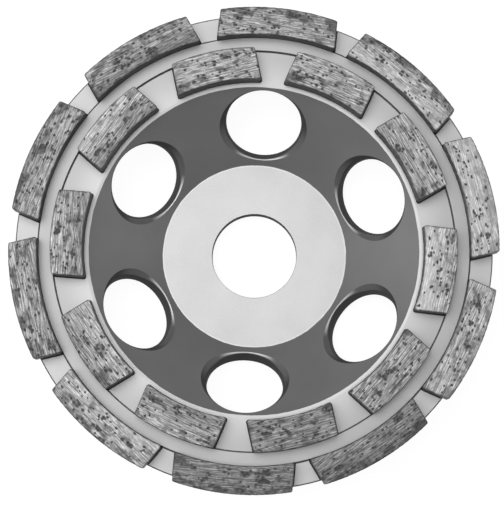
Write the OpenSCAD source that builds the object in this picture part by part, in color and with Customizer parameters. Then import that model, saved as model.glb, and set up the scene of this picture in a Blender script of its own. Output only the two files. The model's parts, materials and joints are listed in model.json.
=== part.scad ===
// Diamond cup wheel for grinding stone and concrete: a formed steel dish with
// two rows of sintered segments brazed to its rim. It lies with its grinding
// face up. The origin is on the bore's axis, at the back face of the hub.
// Its radii run inwards from the diameter over the outer segments, by the
// widths of the rows, the rib and the wall.

/* [Hub] */
// Diameter of the spindle bore
bore_d = 22.23; // [16:0.01:25.4]
// Edge break at both ends of the bore
bore_break = 0.1; // [0.1:0.05:0.6]
// Thickness of the hub between its two turned faces
hub_t = 4.4; // [3.5:0.1:5.5]

/* [Dish] */
// Depth from the channel floors down to the hub's front face
cup_depth = 14.6; // [12:0.1:18]
// Width of the sloped wall, seen from the front
wall_w = 18.3; // [15:0.1:22]
// Thickness of the sloped wall, square to its surface
wall_t = 4.2; // [3.5:0.1:5]
// Width of the turned lip round the mouth, seen from the front
lip_w = 0.75; // [0.4:0.05:1]
// Drop of the turned lip
lip_drop = 0.1; // [0.1:0.05:1]
// Bare channel floor between the lip and the inner segments
mouth_land = 0.46; // [0.3:0.01:2]
// Radius where the hub's front face turns up into the wall
hub_fillet = 0.6; // [0.3:0.1:1.5]
// Bend radius at the back, round the hub
back_bend = 4; // [2:0.5:6]
// Bend radius at the back, under the rim
rim_bend = 3; // [1:0.5:4]

/* [Rim] */
// How far the outer segments overhang the rim's edge
overhang = 1.2; // [0:0.1:2]
// Thickness of the rim under the channels
rim_t = 4.5; // [3.5:0.1:6]
// Edge break round the rim's front
rim_break = 0.3; // [0.1:0.05:0.6]
// Edge break round the rim's back
rim_back_break = 0.6; // [0.2:0.1:1]

/* [Rib between the rows] */
// Width of the rib
rib_w = 3.25; // [2:0.05:5]
// Height of the rib above the channel floors
rib_h = 0.8; // [0.5:0.05:1.2]
// Width of the relief groove at the rib's inner foot
groove_in_w = 0.4; // [0.2:0.05:0.6]
// Width of the relief groove at the rib's outer foot
groove_out_w = 0.5; // [0.2:0.05:0.7]
// Depth of both relief grooves
groove_depth = 0.3; // [0.1:0.05:0.5]

/* [Dust holes] */
// How many holes go through the sloped wall
hole_count = 6; // [3:1:6]
// Wall left between each hole's throat and the hub face, along the slope
hub_land = 1.96; // [1:0.01:4]
// Wall left between each hole's throat and the lip, along the slope
lip_land = 1.13; // [0.6:0.01:4]
// Angle by which each hole leans less than square to the wall
hole_tilt = 12; // [0:0.5:14]
// Angle of the first hole
hole_start = 86; // [0:1:359]
// Turn of each hole out of its even place, as it was punched
hole_turn = [-0.2, 0.2, 0.8, 0, -0.2, -0.4];
// Radius of the rounded mouth
mouth_r = 1.2; // [0.6:0.1:2]
// Width that the mouth adds all round the throat, along the wall's surface
mouth_w = 0.4; // [0.3:0.05:0.8]

/* [Segments] */
// Height of every segment above the channel floors
segment_h = 5; // [2:0.1:8]
// Film of braze between a segment and the rib
braze_gap = 0.04; // [0.02:0.01:0.1]

/* [Outer segments] */
// How many outer segments there are
outer_count = 10; // [8:1:12]
// Diameter over the outer segments, the wheel's own diameter
outer_d = 125; // [100:0.1:150]
// Width of the row, from the rib to the outer edge
outer_w = 7.26; // [5:0.01:9]
// Gap between two neighbours at the rib
outer_gap = 4; // [3:0.01:12]
// Angle of the first outer segment
outer_start = 84.6; // [0:0.1:359]
// Turn of each outer segment out of its even place, as it was brazed on
outer_turn = [-0.8, -0.4, 0.1, 0.3, 0.8, 0.3, 0, -0.7, 0.5, -0.1];
// Corner radius beside the rib
outer_corner_in = 0.8; // [0.3:0.1:2]
// Corner radius at the outer edge
outer_corner_out = 0.3; // [0.2:0.1:1]

/* [Inner segments] */
// How many inner segments there are
inner_count = 10; // [8:1:12]
// Width of the row, from the rib to the inner edge
inner_w = 8.3; // [5:0.01:9.5]
// Gap between two neighbours at the inner edge
inner_gap = 5.4; // [3:0.01:12]
// Angle of the first inner segment
inner_start = 102.2; // [0:0.1:359]
// Turn of each inner segment out of its even place, as it was brazed on
inner_turn = [-0.4, 0.3, 1.1, 1.6, 0.4, -0.1, -0.5, -1.1, 0, -1];
// Corner radius at the inner edge
inner_corner_in = 0.8; // [0.3:0.1:2]
// Corner radius beside the rib
inner_corner_out = 0.4; // [0.2:0.1:1]

/* [Hidden] */
$fn = 96;
cut = 1;                                   // how far a cutter runs past a face
outer_r = outer_d / 2;
rim_r = outer_r - overhang;
outer_in_r = outer_r - outer_w;
rib_out = outer_in_r - braze_gap;
rib_in = rib_out - rib_w;
inner_out_r = rib_in - braze_gap;
inner_in_r = inner_out_r - inner_w;
lip_r = inner_in_r - mouth_land - lip_w;   // where the painted wall meets the lip
hub_face_r = lip_r - wall_w;
floor_z = hub_t + cup_depth;               // channel floors, where the segments sit
lip_z = floor_z - lip_drop;
wall_a = atan((lip_z - hub_t) / wall_w);
// A point on the wall's outer surface, square to the inner one at the hub
wall_out_r = hub_face_r + wall_t * sin(wall_a);
wall_out_z = hub_t - wall_t * cos(wall_a);
rim_back_z = floor_z - rim_t;
rib_z = floor_z + rib_h;
// A hole on the wall's surface, its length along the slope set by the two lands
hole_len = wall_w / cos(wall_a) - hub_land - lip_land;
hole_d = hole_len * cos(hole_tilt);
hole_r = hub_face_r + (hub_land + hole_len / 2) * cos(wall_a);
hole_z = hub_t + (hub_land + hole_len / 2) * sin(wall_a);
outer_len = row_length(outer_in_r, outer_count, outer_gap);
inner_len = row_length(inner_in_r, inner_count, inner_gap);

function numbered(name, count) =
    [for (i = [1:count]) str(name, "_", i < 10 ? "0" : "", i)];
outer_names = numbered("outer_segment", outer_count);
inner_names = numbered("inner_segment", inner_count);

// Distance between a segment's two parallel ends, from the gap to its neighbour
function row_length(in_r, count, gap) =
    2 * in_r * sin(180 / count - asin(gap / (2 * in_r)));

// Radius at which the wall's outer surface passes a height
function wall_back_r(z) = wall_out_r + (z - wall_out_z) / tan(wall_a);

// Points of the arc that rounds corner b, between its neighbours a and c
function unit(v) = v / norm(v);
function round_corner(a, b, c, r, steps = 8) =
    let (u = unit(a - b), v = unit(c - b),
         half = acos(u * v) / 2,
         mid = b + unit(u + v) * r / sin(half),
         start = b + u * r / tan(half),
         end = b + v * r / tan(half),
         sweep = 180 - 2 * half)
    [for (i = [0:steps])
        let (k = i / steps)
        mid + (sin((1 - k) * sweep) * (start - mid) + sin(k * sweep) * (end - mid)) / sin(sweep)];

// The steel dish's half section, as radius and height
module dish_section() {
    bore_r = bore_d / 2;
    hub_corner = [hub_face_r + hub_fillet * tan(wall_a / 2), hub_t];
    lip_foot = [lip_r, lip_z];
    back_hub = [wall_back_r(0), 0];
    back_rim = [wall_back_r(rim_back_z), rim_back_z];
    back_edge = [rim_r - rim_back_break, rim_back_z];
    back_start = [bore_r + bore_break, 0];
    polygon(concat(
        [back_start],
        round_corner(back_start, back_hub, back_rim, back_bend),
        round_corner(back_hub, back_rim, back_edge, rim_bend),
        [back_edge,
         [rim_r, rim_back_z + rim_back_break],
         [rim_r, floor_z - rim_break],
         [rim_r - rim_break, floor_z],
         [rib_out + groove_out_w, floor_z],
         [rib_out + groove_out_w, floor_z - groove_depth],
         [rib_out, floor_z - groove_depth],
         [rib_out, rib_z],
         [rib_in, rib_z],
         [rib_in, floor_z - groove_depth],
         [rib_in - groove_in_w, floor_z - groove_depth],
         [rib_in - groove_in_w, floor_z],
         [lip_r + lip_w, floor_z],
         lip_foot],
        round_corner(lip_foot, hub_corner, [bore_r, hub_t], hub_fillet),
        [[bore_r + bore_break, hub_t],
         [bore_r, hub_t - bore_break],
         [bore_r, bore_break]]));
}

// A dust hole's throat, about the hole's own axis
module throat_cutter() {
    cylinder(h = 4 * wall_t, d = hole_d, center = true, $fn = 96);
}

// A hole's rounded mouth, about the line square to the wall. It starts inside
// the throat, rounds outwards and runs out through the surface as a cone.
module mouth_cutter() {
    sweep = 40;
    top = 2.5 * mouth_r;
    arc_end = 0.15;                        // depth at which the rounding ends
    base_r = hole_len / 2 + mouth_w - arc_end / tan(sweep) - mouth_r * (1 - cos(sweep));
    base_z = -arc_end - mouth_r * sin(sweep);
    lead_in = mouth_r * tan(hole_tilt);
    arc = [for (a = [0:5:sweep])
        [base_r + mouth_r * (1 - cos(a)), base_z + mouth_r * sin(a)]];
    flare = arc[len(arc) - 1];
    rotate_extrude()
        polygon(concat(
            [[0, base_z - mouth_r], [base_r - lead_in, base_z - mouth_r]],
            arc,
            [[flare[0] + (top - flare[1]) * tan(sweep), top], [0, top]]));
}

module cup_body() {
    color("silver")
    difference() {
        rotate_extrude() dish_section();
        for (i = [0:hole_count - 1])
            rotate([0, 0, hole_start + i * 360 / hole_count + hole_turn[i % len(hole_turn)]])
                translate([hole_r, 0, hole_z])
                    rotate([0, -wall_a, 0]) {
                        rotate([0, hole_tilt, 0]) throat_cutter();
                        mouth_cutter();
                    }
    }
}

// Trims one corner of a segment to a round. The corner lies where an arc about
// the origin meets the end at y = half; side is 1 inside the arc, -1 outside.
module corner_trim(arc_r, half, r, side) {
    centre_r = arc_r - side * r;
    centre = [sqrt(pow(centre_r, 2) - pow(half - r, 2)), half - r];
    on_arc = centre * arc_r / centre_r;
    difference() {
        polygon([centre,
                 [centre[0], half + cut],
                 [centre[0] + side * (r + cut), half + cut],
                 centre + (on_arc - centre) * (r + cut) / r]);
        translate(centre) circle(r);
    }
}

// A segment seen from above: part of a ring between two parallel ends
module segment_outline(in_r, out_r, length, corner_in, corner_out) {
    half = length / 2;
    difference() {
        intersection() {
            circle(out_r, $fn = 360);
            translate([0, -half]) square([out_r + cut, length]);
        }
        circle(in_r, $fn = 360);
        for (m = [0, 1])
            mirror([0, m, 0]) {
                corner_trim(out_r, half, corner_out, 1);
                corner_trim(in_r, half, corner_in, -1);
            }
    }
}

module outer_segment(i) {
    color("dimgray")
    rotate([0, 0, outer_start + i * 360 / outer_count + outer_turn[i % len(outer_turn)]])
        translate([0, 0, floor_z])
            linear_extrude(segment_h)
                segment_outline(outer_in_r, outer_r, outer_len, outer_corner_in, outer_corner_out);
}

module inner_segment(i) {
    color("gray")
    rotate([0, 0, inner_start + i * 360 / inner_count + inner_turn[i % len(inner_turn)]])
        translate([0, 0, floor_z])
            linear_extrude(segment_h)
                segment_outline(inner_in_r, inner_out_r, inner_len, inner_corner_in, inner_corner_out);
}

cup_body();
for (i = [0:outer_count - 1])
    outer_segment(i);
for (i = [0:inner_count - 1])
    inner_segment(i);
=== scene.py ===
import bpy
import bmesh
import json
import random
from math import atan2, cos, radians, sin, sqrt
from mathutils import Vector, Matrix, noise


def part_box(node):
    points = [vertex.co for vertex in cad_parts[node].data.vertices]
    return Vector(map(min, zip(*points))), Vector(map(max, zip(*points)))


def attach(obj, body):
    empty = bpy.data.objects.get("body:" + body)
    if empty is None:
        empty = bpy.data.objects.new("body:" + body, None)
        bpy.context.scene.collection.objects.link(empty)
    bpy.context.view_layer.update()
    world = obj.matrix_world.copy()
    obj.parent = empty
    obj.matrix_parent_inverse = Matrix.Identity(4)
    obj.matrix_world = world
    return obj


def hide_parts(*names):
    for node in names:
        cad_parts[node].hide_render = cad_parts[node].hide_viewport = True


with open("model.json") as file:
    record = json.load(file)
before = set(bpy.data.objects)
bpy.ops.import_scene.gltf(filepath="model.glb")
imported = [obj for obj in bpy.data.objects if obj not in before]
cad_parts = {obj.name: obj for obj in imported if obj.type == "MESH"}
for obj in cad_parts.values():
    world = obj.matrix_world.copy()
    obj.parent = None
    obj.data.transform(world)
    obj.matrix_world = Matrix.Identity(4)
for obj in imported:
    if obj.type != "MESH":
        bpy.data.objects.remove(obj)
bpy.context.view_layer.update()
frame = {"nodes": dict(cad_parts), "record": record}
print("frame loaded:", len(frame["nodes"]), "nodes")

mm = 0.001

# heights come from the solids themselves
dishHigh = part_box("cup_body")[1]
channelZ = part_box("outer_segment_01")[0].z      # floor that the segments sit on
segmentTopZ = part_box("outer_segment_01")[1].z
ribTopZ = dishHigh.z
rimRadius = dishHigh.x
hubFaceZ = next(m for m in frame["record"]["mounts"] if m["name"] == "nut_face")["pos_m"][2]


def hexColour(code):
    # sRGB hex to the linear colour that the shaders want
    channels = [int(code[i:i + 2], 16) / 255 for i in (1, 3, 5)]
    linear = [c / 12.92 if c <= 0.04045 else ((c + 0.055) / 1.055) ** 2.4 for c in channels]
    return (*linear, 1.0)


def addNode(tree, kind, inputs=None, stops=(), **settings):
    # one node, with its settings, values or links on its inputs, and a ramp's stops
    # (a Mix node has its share on 0, numbers on 2 and 3, vectors on 4 and 5, colours on 6 and 7)
    node = tree.nodes.new(kind)
    for key, value in settings.items():
        setattr(node, key, value)
    for key, value in (inputs or {}).items():
        if isinstance(value, bpy.types.NodeSocket):
            tree.links.new(value, node.inputs[key])
        else:
            node.inputs[key].default_value = value
    if stops:
        elements = node.color_ramp.elements
        while len(elements) < len(stops):
            elements.new(0.5)
        for element, (position, code) in zip(elements, stops):
            element.position = position
            element.color = hexColour(code)
    return node


def newMaterial(name):
    material = bpy.data.materials.new(name)
    material.use_nodes = True
    material.node_tree.nodes.clear()
    return material, material.node_tree


# Dish: turned mild steel where it is bare, sprayed dark grey enamel on the wall and the back
dish = {
    "hubFaceRadius": 24.1 * mm,
    "backFaceRadius": 24.3 * mm,
    "boreRadius": 11.115 * mm,
    "wallAngle": radians(38.4),
    "lipRadius": 42.4 * mm,
    "ribInnerRadius": 51.95 * mm,
    "ribOuterRadius": 55.2 * mm,
    "steelMetallic": 0.4,          # a thin grey film from washing and drying lies on the bare steel
    "steelRoughness": 0.45,
    "paintRoughness": 0.38,
    "shadedRoughness": 0.75,
    "gloss": 0.5,
    "shadedGloss": 0.1,             # the bore and the holes' throats, painted in shade, are also made duller and less shiny
    "turningDepth": 0.02 * mm,
    "turningStrength": 0.25,
    "sprayStray": 0.25 * mm,       # how far the enamel's edge strays
    # size, detail and roughness of each pattern
    "patterns": {
        "stray": (2.5 * mm, 2.0, 0.5),
        "turning": (0.3 * mm, 3.0, 0.6),        # feed of the lathe tool, a little coarser than it is
        "cloud": (mm / 0.09, 3.0, 0.5),         # 11 mm
        "speckle": (mm / 1.8, 2.0, 0.6),        # 0.6 mm
    },
    "steelShares": {"cloud": 0.5, "speckle": 0.3},      # how much each pattern mottles the steel
    "steelStops": [(0.25, "#b3b3b3"), (0.5, "#bdbdbd")],
    "paintStops": [(0.3, "#626262"), (0.65, "#676767")],
    "colours": {
        # channelAtLip and channelAtRib: the inner channel is painted darker from the lip towards the rib,
        # painted shade
        "channelAtLip": "#b8b8b8",
        "channelAtRib": "#a4a4a4",
        "outerChannel": "#b1b1b1",
        # painted shade: the rib between the two rows of segments is painted darker than the channels
        "ribShade": "#a8a8a8",
        # a painted highlight along the hub's edge
        "edgeHighlight": "#c9c9c9",
        # mouth and throat: painted shade on the dust holes' rounded mouths and walls
        "mouth": "#585858",
        "throat": "#404040",
        # a painted highlight where the holes' mouths look up
        "mouthHighlight": "#dedede",
        # painted shade in the grooves, the bore and on the rim's outer chamfer
        "recessShade": "#3c3c3c",
    },
}
# Each fade is a measure with the values where it starts and where it is full. Facing is how far
# the surface looks up, and slope how far it looks the way of the conical wall.
dish["fades"] = {
    "turnedAway": ("slope", 0.6, 0.25),
    "inShade": ("facing", 0.7, 0.45),
    "lookingUp": ("facing", 0.84, 0.98),
    "rounding": ("slope", 0.95, 0.8),
    "conical": ("slope", 0.97, 0.99),
    "acrossChannel": ("radius", dish["lipRadius"] + 1.0 * mm, dish["ribInnerRadius"] - 0.5 * mm),
}
# Each zone lies where all its tests hold: a measure between two limits, where None is open, or
# the share of a fade or of an earlier zone. A plain number thins the zone.
dish["zones"] = {
    "groove": [("radius", dish["ribInnerRadius"] - 0.8 * mm, dish["ribOuterRadius"] + 0.8 * mm),
               ("height", channelZ - 0.75 * mm, channelZ - 0.03 * mm)],
    "hubFront": [("paintEdge", None, dish["hubFaceRadius"] + 0.05 * mm),
                 ("height", hubFaceZ - 0.02 * mm, None)],
    "hubBack": [("radius", None, dish["backFaceRadius"]), ("height", None, 0.02 * mm)],
    "rimFront": [("paintEdge", dish["lipRadius"] + 0.03 * mm, None),
                 ("radius", None, rimRadius - 0.3 * mm),
                 ("height", channelZ - 0.75 * mm, None), ("groove", None, 0.5)],
    "ribTop": [("radius", dish["ribInnerRadius"] - 0.02 * mm, dish["ribOuterRadius"] + 0.02 * mm),
               ("height", channelZ + 0.1 * mm, None)],
    "rimEdge": [("radius", rimRadius - 0.33 * mm, None), ("height", channelZ - 1.2 * mm, None)],
    "hubEdge": ["hubFront", ("radius", dish["hubFaceRadius"] - 0.22 * mm, None)],   # a bright line along the hub's edge: a painted highlight
    "outsideRib": [("radius", dish["ribInnerRadius"], None)],
    "onRim": [("radius", dish["lipRadius"], None), 0.8],
    "bore": [("radius", None, dish["boreRadius"] + 0.02 * mm), ("facing", None, 0.5)],
    "onWall": [("radius", dish["hubFaceRadius"] + 0.6 * mm, dish["lipRadius"] - 0.1 * mm),
               ("height", 0.5 * mm, None)],
    "cone": ["onWall", "conical"],
    # the dust holes: their walls turn away from the dish's slope, so they are told by their normals. Their
    # walls and mouths are painted darker as painted shade, and where a mouth looks up it takes a painted
    # highlight
    "mouth": ["onWall", "rounding", ("slope", -0.5, None)],
    "holeWall": ["onWall", "turnedAway", ("slope", -0.5, None)],
    "shadedMouth": ["onWall", "inShade", ("slope", -0.5, 0.97)],    # painted shade where the mouths turn away, as dark as the holes' walls
    "mouthHighlight": ["onWall", "lookingUp", ("slope", 0.1, 0.88)],
}
dish["unions"] = {
    "bare": ("hubFront", "hubBack", "rimFront"),
    "metal": ("bare", "mouthHighlight"),
    "throat": ("holeWall", "shadedMouth"),
    "shadedAndDull": ("bore", "throat"),
    "inRecessShade": ("groove", "rimEdge", "bore"),     # painted shade: the grooves, the rib's upright sides, the rim's outer chamfer and the bore are painted near black
}
# Each coat has a ground and the layers over it: where a layer lies, and its colour or coat.
dish["coats"] = {
    "channel": ["channelAtLip", ("acrossChannel", "channelAtRib"), ("outsideRib", "outerChannel")],
    "bareSteel": ["steel", ("onRim", "channel"), ("ribTop", "ribShade"), ("hubEdge", "edgeHighlight")],
    "whole": ["paint", ("mouth", "mouth"), ("throat", "throat"), ("mouthHighlight", "mouthHighlight"),
              ("bare", "bareSteel"), ("inRecessShade", "recessShade")],
}


def dishShares(tree, shares):
    # adds to the measures how fully each fade, zone and union covers a point, from 0 to 1
    for name, (measure, start, full) in dish["fades"].items():
        shares[name] = addNode(tree, "ShaderNodeMapRange", {0: shares[measure], 1: start, 2: full},
                               interpolation_type="SMOOTHSTEP").outputs[0]
    for name, tests in dish["zones"].items():
        shares[name] = 1.0
        for test in tests:
            if isinstance(test, tuple):
                measure, *limits = test
                sides = zip(("GREATER_THAN", "LESS_THAN"), limits)
                factors = [addNode(tree, "ShaderNodeMath", {0: shares[measure], 1: limit},
                                   operation=side).outputs[0] for side, limit in sides if limit is not None]
            else:
                factors = [shares.get(test, test)]      # an earlier share, or a plain number
            for factor in factors:
                shares[name] = addNode(tree, "ShaderNodeMath", {0: shares[name], 1: factor},
                                       operation="MULTIPLY").outputs[0]
    for name, members in dish["unions"].items():
        shares[name] = 0.0
        for member in members:
            shares[name] = addNode(tree, "ShaderNodeMath", {0: shares[name], 1: shares[member]},
                                   operation="MAXIMUM").outputs[0]


def dishMaterial():
    # Mild steel with a lathe finish: fine rings round the axis, soft grey, rather matt.
    # The enamel over the rest is smooth and satin, a little darker where it gathers.
    material, tree = newMaterial("TurnedSteelAndEnamel")
    place = addNode(tree, "ShaderNodeTexCoord").outputs["Object"]
    x, y, z = addNode(tree, "ShaderNodeSeparateXYZ", {0: place}).outputs
    flat = addNode(tree, "ShaderNodeCombineXYZ", {0: x, 1: y, 2: 0.0}).outputs[0]
    radius = addNode(tree, "ShaderNodeVectorMath", {0: flat}, operation="LENGTH").outputs["Value"]

    rings = addNode(tree, "ShaderNodeCombineXYZ", {0: radius, 1: 0.0, 2: 0.0}).outputs[0]
    patterns = {}
    for name, (size, detail, roughness) in dish["patterns"].items():
        patterns[name] = addNode(tree, "ShaderNodeTexNoise",
                                 {"Vector": rings if name == "turning" else place, "Scale": 1.0 / size,
                                  "Detail": detail, "Roughness": roughness}).outputs[0]
    stray = addNode(tree, "ShaderNodeMath", {0: patterns["stray"], 1: 0.5}, operation="SUBTRACT").outputs[0]
    paintEdge = addNode(tree, "ShaderNodeMath", {0: stray, 1: dish["sprayStray"], 2: radius},
                        operation="MULTIPLY_ADD").outputs[0]

    surface = addNode(tree, "ShaderNodeNewGeometry").outputs["Normal"]
    facing = addNode(tree, "ShaderNodeSeparateXYZ", {0: surface}).outputs[2]
    spoke = addNode(tree, "ShaderNodeVectorMath", {0: flat}, operation="NORMALIZE").outputs[0]
    outward = addNode(tree, "ShaderNodeVectorMath", {0: surface, 1: spoke},
                      operation="DOT_PRODUCT").outputs["Value"]
    wallFlat, wallUp = -sin(dish["wallAngle"]), cos(dish["wallAngle"])     # the conical wall's normal
    slope = addNode(tree, "ShaderNodeMath", {0: outward, 1: wallFlat}, operation="MULTIPLY").outputs[0]
    slope = addNode(tree, "ShaderNodeMath", {0: facing, 1: wallUp, 2: slope},
                    operation="MULTIPLY_ADD").outputs[0]
    shares = {"radius": radius, "height": z, "paintEdge": paintEdge, "facing": facing, "slope": slope}
    dishShares(tree, shares)

    steelMix = 0.0
    for name, share in dish["steelShares"].items():
        steelMix = addNode(tree, "ShaderNodeMath", {0: patterns[name], 1: share, 2: steelMix},
                           operation="MULTIPLY_ADD").outputs[0]
    coats = {name: hexColour(code) for name, code in dish["colours"].items()}
    coats["steel"] = addNode(tree, "ShaderNodeValToRGB", {0: steelMix}, dish["steelStops"]).outputs[0]
    coats["paint"] = addNode(tree, "ShaderNodeValToRGB", {0: patterns["cloud"]},
                             dish["paintStops"]).outputs[0]
    for coat, (ground, *layers) in dish["coats"].items():
        coats[coat] = coats[ground]
        for share, layer in layers:
            coats[coat] = addNode(tree, "ShaderNodeMix",
                                  {0: shares[share], 6: coats[coat], 7: coats[layer]},
                                  data_type="RGBA").outputs[2]

    metal = addNode(tree, "ShaderNodeMath", {0: shares["metal"], 1: dish["steelMetallic"]},
                    operation="MULTIPLY").outputs[0]
    rough = addNode(tree, "ShaderNodeMix", {0: metal, 2: dish["paintRoughness"], 3: dish["steelRoughness"]},
                    data_type="FLOAT").outputs[0]
    rough = addNode(tree, "ShaderNodeMix", {0: shares["shadedAndDull"], 2: rough, 3: dish["shadedRoughness"]},
                    data_type="FLOAT").outputs[0]
    gloss = addNode(tree, "ShaderNodeMix", {0: shares["shadedAndDull"], 2: dish["gloss"], 3: dish["shadedGloss"]},
                    data_type="FLOAT").outputs[0]
    relief = addNode(tree, "ShaderNodeMath", {0: patterns["turning"], 1: shares["bare"]},
                     operation="MULTIPLY").outputs[0]
    # the mesh's normals turn by 1.5 degrees at the cone's seam, so the wall takes the cone's own
    lean = addNode(tree, "ShaderNodeVectorMath", {0: spoke, 1: (wallFlat,) * 3},
                   operation="MULTIPLY").outputs[0]
    coneNormal = addNode(tree, "ShaderNodeVectorMath", {0: lean, 1: (0.0, 0.0, wallUp)},
                         operation="ADD").outputs[0]
    normal = addNode(tree, "ShaderNodeMix", {0: shares["cone"], 4: surface, 5: coneNormal},
                     data_type="VECTOR").outputs[1]
    bump = addNode(tree, "ShaderNodeBump", {"Height": relief, "Strength": dish["turningStrength"],
                                            "Distance": dish["turningDepth"], "Normal": normal})
    shader = addNode(tree, "ShaderNodeBsdfPrincipled",
                     {"Base Color": coats["whole"], "Metallic": metal, "Roughness": rough,
                      "Specular IOR Level": gloss, "Normal": bump.outputs[0]})
    addNode(tree, "ShaderNodeOutputMaterial", {"Surface": shader.outputs[0]})
    return material


dishObject = frame["nodes"]["cup_body"]
dishFinish = dishMaterial()
for index in range(max(1, len(dishObject.material_slots))):
    if index < len(dishObject.material_slots):
        dishObject.material_slots[index].material = dishFinish
    else:
        dishObject.data.materials.append(dishFinish)
print("dish finished")


# Segments: pressed and sintered metal powder with diamond grit, its face worn open by grinding
# Tones say how bright each face is and leans how much brighter it grows from its inner to its
# outer edge, one of each for a segment, counted against the clock. Besides each face's own tone they hold
# painted light: faces lit brighter or darker by where they stand towards the lamps.
outerRow = {
    "row": "outer_segment",
    "cornerIn": 0.8 * mm,
    "cornerOut": 0.3 * mm,
    "columns": 220,
    "rows": 54,
    "pits": 42,
    "pores": 4,
    "stainAtOuterEdge": 0.5,
    "braze": 0.35 * mm,
    "brazeInside": 0.0,
    "tones": [0.82, 0.69, 0.79, 0.84, 1.07, 0.53, 0.51, 1.12, 1.45, 1.15],
    "leans": [-0.2, 0.9, -0.5, 0.3, -0.5, -0.2, -0.5, 0.1, 0.0, -0.75],
    "seed": 11,
}
innerRow = {
    "row": "inner_segment",
    "cornerIn": 0.8 * mm,
    "cornerOut": 0.4 * mm,
    "columns": 160,
    "rows": 62,
    "pits": 34,
    "pores": 4,
    "stainAtOuterEdge": 0.0,
    "braze": 0.3 * mm,
    "brazeInside": 0.12 * mm,
    "tones": [0.95, 0.9, 0.84, 0.91, 0.81, 0.62, 0.86, 1.36, 0.94, 0.93],
    "leans": [0.2, 0.9, 0.6, -0.7, 0.65, -0.1, -0.1, -0.7, 0.4, 0.25],
    "seed": 47,
}
# What both rows share. Sizes without a unit and the noises' scales are in millimetres, because
# the marks are laid out in millimetres on the face.
wear = {
    "longScore": (0.17, 3.2, 1.0),      # marks 6 mm long and 0.3 mm wide
    "fineScore": (0.5, 7.0, 1.0),       # marks 2 mm long and 0.15 mm wide
    "grainScale": 2.6,                  # grains of 0.4 mm, coarser than the powder, so that they show
    "faceLevel": -1.02,
    "longShare": 1.4,
    "fineShare": 1.2,
    "grainShare": 0.45,
    "stainShare": -0.33,
    "faceStops": [(0.0, "#3a3a3a"), (0.36, "#747474"), (0.55, "#9a9a9a"), (0.8, "#d6d6d6")],
    "evenFrom": 0.95,                   # tones from here to the next value have their marks evened out more and more
    "evenTo": 1.6,
    "evenMost": 0.6,
    "evenTone": "#8c8c8c",
    "darkTone": "#404040",
    "metallic": 0.35,
    "roughness": 0.5,
    "scoreDepth": 0.05 * mm,
    "scoreStrength": 0.6,
    "slantMost": 6,                     # degrees that the score marks lie off the segment's length
    "noiseSpread": 50,                  # each segment takes its marks from another place in the noise
    "pitWidth": (0.19, 0.36),
    "pitStretch": (1.0, 1.8),
    "pitDepth": (0.1, 0.3),
    "pitMargins": (0.4, 0.3),           # at the inner and the outer edge
    "pitRaggedness": 0.5,
    "pitNoise": 3.0,
    "pitDark": 1.6,
    "poreAlong": 0.9,                   # pores keep within this share of the length
    "poreAcross": (0.15, 0.85),
    "poreReach": (0.5, 1.1),
    "poreHoles": (3, 6),
    "poreHoleWidth": (0.22, 0.45),
    "poreScatter": (1.1, 0.5),
    "roundWidth": 0.25 * mm,
    "roundDepth": 0.1 * mm,
    "chipSize": 0.8 * mm,
    "chipNoise": 0.9,
    "chipFrom": 0.2,                    # level of the noise at which grit has broken out
    "chipSteepness": 0.7,
    "outlineDarkWidth": 0.4 * mm,             # the face is painted darker along its outline
    "outlineDarkLevel": 0.85,
    "outlineDarkChange": 0.6,
    "outlineDarkNoise": 0.8,
    "swayWidth": 0.6 * mm,              # the sides sway in by less than a tenth of a millimetre
    "swayMost": 0.07 * mm,
    "swayLevel": 0.3,
    "swayNoise": 1.3,
    "smudgeNoise": (0.3, 0.55),         # along and across
    "smudgeFineNoise": 1.1,
    "smudgeFineShare": 0.5,
    "haloStretch": 1.8,
    "haloShare": 0.45,
    "cornerStain": 4 * mm,
    "cornerShare": 0.9,
    "edgeStainFrom": 0.55,              # share of the width
    "stainFrom": 0.12,
    "stainGain": 2.0,
    "wallSteps": (0.5 * mm, 2.4 * mm),
}


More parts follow.
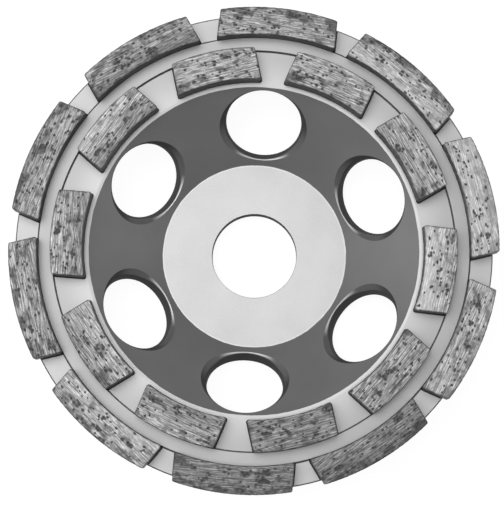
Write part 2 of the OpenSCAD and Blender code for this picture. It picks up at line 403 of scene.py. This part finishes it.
def sinteredMaterial():
    # Sintered bronze and cobalt matrix: dull grey with light and dark score marks along the cut,
    # dark open pores and holes where grit has fallen out.
    material, tree = newMaterial("SinteredSegment")
    place = addNode(tree, "ShaderNodeUVMap", uv_map="faceMillimetres").outputs[0]
    attributes = {name: addNode(tree, "ShaderNodeAttribute", attribute_name=name).outputs["Fac"]
                  for name in ("stain", "tone", "pit", "side")}
    scores = []
    for stretch in (wear["longScore"], wear["fineScore"]):
        stretched = addNode(tree, "ShaderNodeMapping", {"Vector": place, "Scale": stretch})
        score = addNode(tree, "ShaderNodeTexNoise",
                        {"Vector": stretched.outputs[0], "Scale": 1.0, "Detail": 2.0, "Roughness": 0.6})
        scores.append(score.outputs[0])
    grain = addNode(tree, "ShaderNodeTexNoise", {"Vector": place, "Scale": wear["grainScale"],
                                                 "Detail": 3.0, "Roughness": 0.7}).outputs[0]
    total = wear["faceLevel"]
    for pattern, share in ((scores[0], wear["longShare"]), (scores[1], wear["fineShare"]),
                           (grain, wear["grainShare"]), (attributes["stain"], wear["stainShare"])):
        total = addNode(tree, "ShaderNodeMath", {0: pattern, 1: share, 2: total},
                        operation="MULTIPLY_ADD").outputs[0]
    colour = addNode(tree, "ShaderNodeValToRGB", {0: total}, wear["faceStops"]).outputs[0]
    # the brightest faces have their marks evened out more than the others
    even = addNode(tree, "ShaderNodeMapRange",
                   {0: attributes["tone"], 1: wear["evenFrom"], 2: wear["evenTo"],
                    3: 0.0, 4: wear["evenMost"]}).outputs[0]
    colour = addNode(tree, "ShaderNodeMix", {0: even, 6: colour, 7: hexColour(wear["evenTone"])},
                     data_type="RGBA").outputs[2]
    colour = addNode(tree, "ShaderNodeVectorMath", {0: colour, "Scale": attributes["tone"]},
                     operation="SCALE").outputs[0]
    # the pits, the face's darker outline and the walls take the dark tone: painted shade in the pits, and
    # on the walls partly their own colour and partly painted shade
    dark = addNode(tree, "ShaderNodeMath", {0: attributes["pit"], 1: attributes["side"]},
                   operation="MAXIMUM").outputs[0]
    colour = addNode(tree, "ShaderNodeMix", {0: dark, 6: colour, 7: hexColour(wear["darkTone"])},
                     data_type="RGBA").outputs[2]
    bump = addNode(tree, "ShaderNodeBump", {"Height": total, "Strength": wear["scoreStrength"],
                                            "Distance": wear["scoreDepth"]})
    shader = addNode(tree, "ShaderNodeBsdfPrincipled",
                     {"Base Color": colour, "Metallic": wear["metallic"], "Roughness": wear["roughness"],
                      "Normal": bump.outputs[0]})
    addNode(tree, "ShaderNodeOutputMaterial", {"Surface": shader.outputs[0]})
    return material


def cornerInset(distance, corner):
    # how far a rounded corner draws the end in, at a distance from the long edge
    if distance >= corner:
        return 0.0
    return corner - sqrt(max(0.0, corner ** 2 - (corner - distance) ** 2))


def measureSegment(node):
    # angle of its middle, its two radii and half its length, from the solid's own corners
    corners = [node.matrix_world @ vert.co for vert in node.data.vertices]
    middle = sum(corners, Vector()) / len(corners)
    turned = [Matrix.Rotation(-atan2(middle.y, middle.x), 3, "Z") @ corner for corner in corners]
    angles = [atan2(corner.y, corner.x) for corner in turned]
    angle = atan2(middle.y, middle.x) + (min(angles) + max(angles)) / 2
    radii = [corner.xy.length for corner in corners]
    half = max(abs(corner.y * cos(angle) - corner.x * sin(angle)) for corner in corners)
    return angle, min(radii), max(radii), half


def drawPits(spec, dice, half, width):
    # each pit is its place along and across the face, its two half widths and its depth
    pits = []
    nearEdge, farEdge = wear["pitMargins"]
    for _ in range(spec["pits"]):
        size = dice.uniform(*wear["pitWidth"]) * mm
        pits.append((dice.uniform(-half, half), dice.uniform(nearEdge * mm, width - farEdge * mm),
                     size * dice.uniform(*wear["pitStretch"]), size, dice.uniform(*wear["pitDepth"]) * mm))
    # larger pores are several holes run together, with a dark halo
    pores = []
    alongScatter, acrossScatter = wear["poreScatter"]
    for _ in range(spec["pores"]):
        along = dice.uniform(-wear["poreAlong"], wear["poreAlong"]) * half
        across = dice.uniform(*wear["poreAcross"]) * width
        reach = dice.uniform(*wear["poreReach"]) * mm
        pores.append((along, across, reach))
        for _ in range(dice.randint(*wear["poreHoles"])):
            size = dice.uniform(*wear["poreHoleWidth"]) * mm
            pits.append((along + dice.gauss(0, alongScatter) * reach,
                         across + dice.gauss(0, acrossScatter) * reach,
                         size * dice.uniform(*wear["pitStretch"]), size,
                         dice.uniform(*wear["pitDepth"]) * mm))
    return pits, pores


def faceWear(seat, along, across, edge, pits):
    # how deep the face is worn at a point, and how dark
    chip = max(0.0, noise.noise(seat * wear["chipNoise"]) - wear["chipFrom"]) * wear["chipSize"]
    drop = wear["roundDepth"] * max(0.0, 1 - edge / wear["roundWidth"]) ** 2
    if chip > edge:
        drop += wear["chipSteepness"] * (chip - edge)
    dark = wear["outlineDarkLevel"] + wear["outlineDarkChange"] * noise.noise(seat * wear["outlineDarkNoise"])
    dark *= max(0.0, 1 - edge / wear["outlineDarkWidth"])
    farthest = 1.3      # no pit's ragged outline reaches beyond this many half widths
    for pitAlong, pitAcross, pitLength, pitWidth, depth in pits:
        dx = (along - pitAlong) / pitLength
        dy = (across - pitAcross) / pitWidth
        if abs(dx) > farthest or abs(dy) > farthest:
            continue
        inside = 1 - (dx * dx + dy * dy + wear["pitRaggedness"] * noise.noise(seat * wear["pitNoise"]))
        if inside > 0:
            drop = max(drop, depth * inside)
            dark = max(dark, min(1.0, wear["pitDark"] * inside))
    return drop, dark


def faceStain(spec, seat, along, across, width, darkCorner, pores):
    # soft dark smudges, one corner and the pores' halos, and the outer edge where the row has that
    cornerNear = max(0.0, 1 - (Vector((along, across)) - darkCorner).length / wear["cornerStain"])
    noiseAlong, noiseAcross = wear["smudgeNoise"]
    smudge = noise.noise(Vector((seat.x * noiseAlong, seat.y * noiseAcross, 5.0)))
    smudge += wear["smudgeFineShare"] * noise.noise(seat * wear["smudgeFineNoise"])
    for poreAlong, poreAcross, reach in pores:
        halo = ((along - poreAlong) / wear["haloStretch"]) ** 2 + (across - poreAcross) ** 2
        smudge += wear["haloShare"] * max(0.0, 1 - halo / reach ** 2)
    outerEdge = max(0.0, across / width - wear["edgeStainFrom"]) / (1 - wear["edgeStainFrom"])
    smudge += wear["cornerShare"] * cornerNear + spec["stainAtOuterEdge"] * outerEdge
    return min(1.0, max(0.0, (smudge - wear["stainFrom"]) * wear["stainGain"]))


def spreadFoot(spec, point, half, innerRadius, width):
    # the dark fillet, part braze and part painted shadow at the foot, lies round the ends, and on the side
    # away from the rib where that side is on the floor
    radius = point.length
    if radius > rimRadius - 0.3 * mm:
        return point
    along = point.y * (1 + spec["braze"] / half)
    radius -= spec["brazeInside"] * max(0.0, 1 - 2 * (radius - innerRadius) / width)
    return Vector((sqrt(radius ** 2 - along ** 2), along))


def makeSegment(spec, index, material):
    name = f"{spec['row']}_{index + 1:02d}"
    dice = random.Random(spec["seed"] * 100 + index)
    angle, innerRadius, outerRadius, half = measureSegment(frame["nodes"][name])
    width = outerRadius - 0.01 * mm - innerRadius
    shift = Vector((dice.uniform(0, wear["noiseSpread"]), dice.uniform(0, wear["noiseSpread"]), 0))
    slant = radians(dice.uniform(-wear["slantMost"], wear["slantMost"]))
    pits, pores = drawPits(spec, dice, half, width)
    darkCorner = Vector((dice.choice((-1, 1)) * half, dice.choice((0, width))))

    bm = bmesh.new()
    bmesh.ops.create_grid(bm, x_segments=spec["columns"], y_segments=spec["rows"], size=0.5)
    pitLayer, sideLayer, stainLayer, toneLayer, placeX, placeY = [
        bm.verts.layers.float.new(layer) for layer in ("pit", "side", "stain", "tone", "placeX", "placeY")]
    for vert in bm.verts:
        across = (vert.co.y + 0.5) * width
        reach = half - cornerInset(across, spec["cornerIn"])
        reach -= cornerInset(width - across, spec["cornerOut"])
        along = 2 * vert.co.x * reach
        edge = min(across, width - across, reach - abs(along))
        seat = Vector((along / mm, across / mm, 0)) + shift
        drop, dark = faceWear(seat, along, across, edge, pits)
        inward = max(0.0, 1 - edge / wear["swayWidth"]) * wear["swayMost"]
        inward *= max(0.0, wear["swayLevel"] + noise.noise(seat * wear["swayNoise"]))
        radius = innerRadius + across + (-inward if across > width / 2 else inward)
        vert.co = Vector((sqrt(radius ** 2 - along ** 2), along, segmentTopZ - drop))
        vert[pitLayer] = dark
        vert[stainLayer] = faceStain(spec, seat, along, across, width, darkCorner, pores)
        vert[toneLayer] = spec["tones"][index] * (1 + spec["leans"][index] * (across / width - 0.5))
        flatX = along / mm
        flatY = (vert.co.x - innerRadius) / mm
        vert[placeX] = flatX * cos(slant) - flatY * sin(slant) + shift.x
        vert[placeY] = flatX * sin(slant) + flatY * cos(slant) + shift.y

    # the walls go down in steps, so the rim keeps its chips; a dark fillet spreads at the foot, part braze
    # and part painted shadow
    bottomRim = [e for e in bm.edges if e.is_boundary]
    footDepth = segmentTopZ - channelZ
    for depth in (*wear["wallSteps"], footDepth - spec["braze"], footDepth):
        made = bmesh.ops.extrude_edge_only(bm, edges=bottomRim)["geom"]
        newVerts = [g for g in made if isinstance(g, bmesh.types.BMVert)]
        bottomRim = [g for g in made if isinstance(g, bmesh.types.BMEdge) and g.is_boundary]
        for vert in newVerts:
            vert.co.z = segmentTopZ - depth
            if depth == footDepth:
                vert.co.xy = spreadFoot(spec, vert.co.xy, half, innerRadius, width)
            # the walls and the fillet get the dark tone: partly their own colour, partly painted shade
            vert[sideLayer] = 1.0
            vert[toneLayer] = spec["tones"][index]
            vert[placeY] += depth / mm
    bmesh.ops.holes_fill(bm, edges=bottomRim, sides=0)
    bmesh.ops.recalc_face_normals(bm, faces=bm.faces)
    uvLayer = bm.loops.layers.uv.new("faceMillimetres")
    for face in bm.faces:
        face.smooth = True
        for loop in face.loops:
            loop[uvLayer].uv = (loop.vert[placeX], loop.vert[placeY])
    bmesh.ops.rotate(bm, verts=bm.verts, cent=(0, 0, 0), matrix=Matrix.Rotation(angle, 3, "Z"))
    mesh = bpy.data.meshes.new(name + "_worn")
    bm.to_mesh(mesh)
    bm.free()
    mesh.materials.append(material)
    piece = bpy.data.objects.new(name + "_worn", mesh)
    bpy.context.scene.collection.objects.link(piece)
    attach(piece, "root")
    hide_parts(name)


sintered = sinteredMaterial()
for row in (outerRow, innerRow):
    for number in range(len(row["tones"])):
        makeSegment(row, number, sintered)
    print("segments finished:", row["row"])


# Floor, lamps and camera
studio = {
    "floorSize": 4.0,
    "floorTone": "#f4f4f4",
    "glowStrength": 1.08,
    "glowShare": 0.85,                    # seen straight on, the paper is almost white of itself
    "skyLight": 0.5,                      # what falls on the wheel
    "skySeen": 1.0,                       # what the camera sees
    "cameraDistance": 0.5,
    "cameraLean": (0.009, -0.115, 1.0),   # direction from the rib's plane to the camera
    "lens": 137.21,
    "sensorWidth": 36,
    "shift": (-0.0034, -0.0131),
    "lamps": [
        # name, place, size in metres, watts
        ("overhead", (-0.24, 0.15, 0.93), 0.8, 5.5),
        ("left", (-0.9, 0.08, 0.28), 0.6, 2.65),
        ("right", (0.9, -0.05, 0.28), 0.6, 1.5),
    ],
}


def makeFloor():
    bm = bmesh.new()
    bmesh.ops.create_grid(bm, x_segments=1, y_segments=1, size=studio["floorSize"] / 2)
    mesh = bpy.data.meshes.new("floor")
    bm.to_mesh(mesh)
    bm.free()
    floor = bpy.data.objects.new("floor", mesh)
    bpy.context.scene.collection.objects.link(floor)
    material, tree = newMaterial("PaleFloor")
    # the part of the paper that does not glow takes the wheel's shadow
    light = addNode(tree, "ShaderNodeLightPath").outputs
    seen = light["Is Camera Ray"]
    for ray in ("Is Glossy Ray", "Is Transmission Ray"):
        seen = addNode(tree, "ShaderNodeMath", {0: seen, 1: light[ray]}, operation="MAXIMUM").outputs[0]
    share = addNode(tree, "ShaderNodeMath", {0: seen, 1: studio["glowShare"]}, operation="MULTIPLY")
    paper = addNode(tree, "ShaderNodeBsdfDiffuse", {"Color": hexColour(studio["floorTone"])})
    glow = addNode(tree, "ShaderNodeEmission", {"Color": (1, 1, 1, 1), "Strength": studio["glowStrength"]})
    mix = addNode(tree, "ShaderNodeMixShader",
                  {0: share.outputs[0], 1: paper.outputs[0], 2: glow.outputs[0]})
    addNode(tree, "ShaderNodeOutputMaterial", {"Surface": mix.outputs[0]})
    mesh.materials.append(material)


def makeWorld():
    world = bpy.data.worlds.new("studio")
    bpy.context.scene.world = world
    world.use_nodes = True
    tree = world.node_tree
    tree.nodes.clear()
    light = addNode(tree, "ShaderNodeLightPath")
    strength = addNode(tree, "ShaderNodeMix", {0: light.outputs["Is Camera Ray"], 2: studio["skyLight"],
                                               3: studio["skySeen"]}, data_type="FLOAT")
    sky = addNode(tree, "ShaderNodeBackground", {"Color": (1, 1, 1, 1), "Strength": strength.outputs[0]})
    addNode(tree, "ShaderNodeOutputWorld", {"Surface": sky.outputs[0]})


def aimAt(thing, place, target):
    # turns a camera or a lamp so that it looks from place at target, with its top towards +y
    up = Vector((0, 1, 0))
    back = (Vector(place) - target).normalized()
    upward = (up - up.dot(back) * back).normalized()
    side = upward.cross(back)
    thing.matrix_world = Matrix.Translation(place) @ Matrix((side, upward, back)).transposed().to_4x4()


def makeLamps(target):
    for name, place, size, watts in studio["lamps"]:
        data = bpy.data.lights.new(name, "AREA")
        data.shape = "SQUARE"
        data.size = size
        data.energy = watts
        lamp = bpy.data.objects.new(name, data)
        bpy.context.scene.collection.objects.link(lamp)
        aimAt(lamp, place, target)


def makeCamera(target):
    data = bpy.data.cameras.new("camera")
    data.lens = studio["lens"]
    data.sensor_width = studio["sensorWidth"]
    data.shift_x, data.shift_y = studio["shift"]
    camera = bpy.data.objects.new("camera", data)
    bpy.context.scene.collection.objects.link(camera)
    direction = Vector(studio["cameraLean"]).normalized()
    aimAt(camera, target + direction * studio["cameraDistance"], target)
    bpy.context.scene.camera = camera


ribCentre = Vector((0, 0, ribTopZ))
makeFloor()
makeWorld()
makeLamps(ribCentre)
makeCamera(ribCentre)
bpy.context.scene.view_settings.view_transform = "Standard"
print("studio finished")
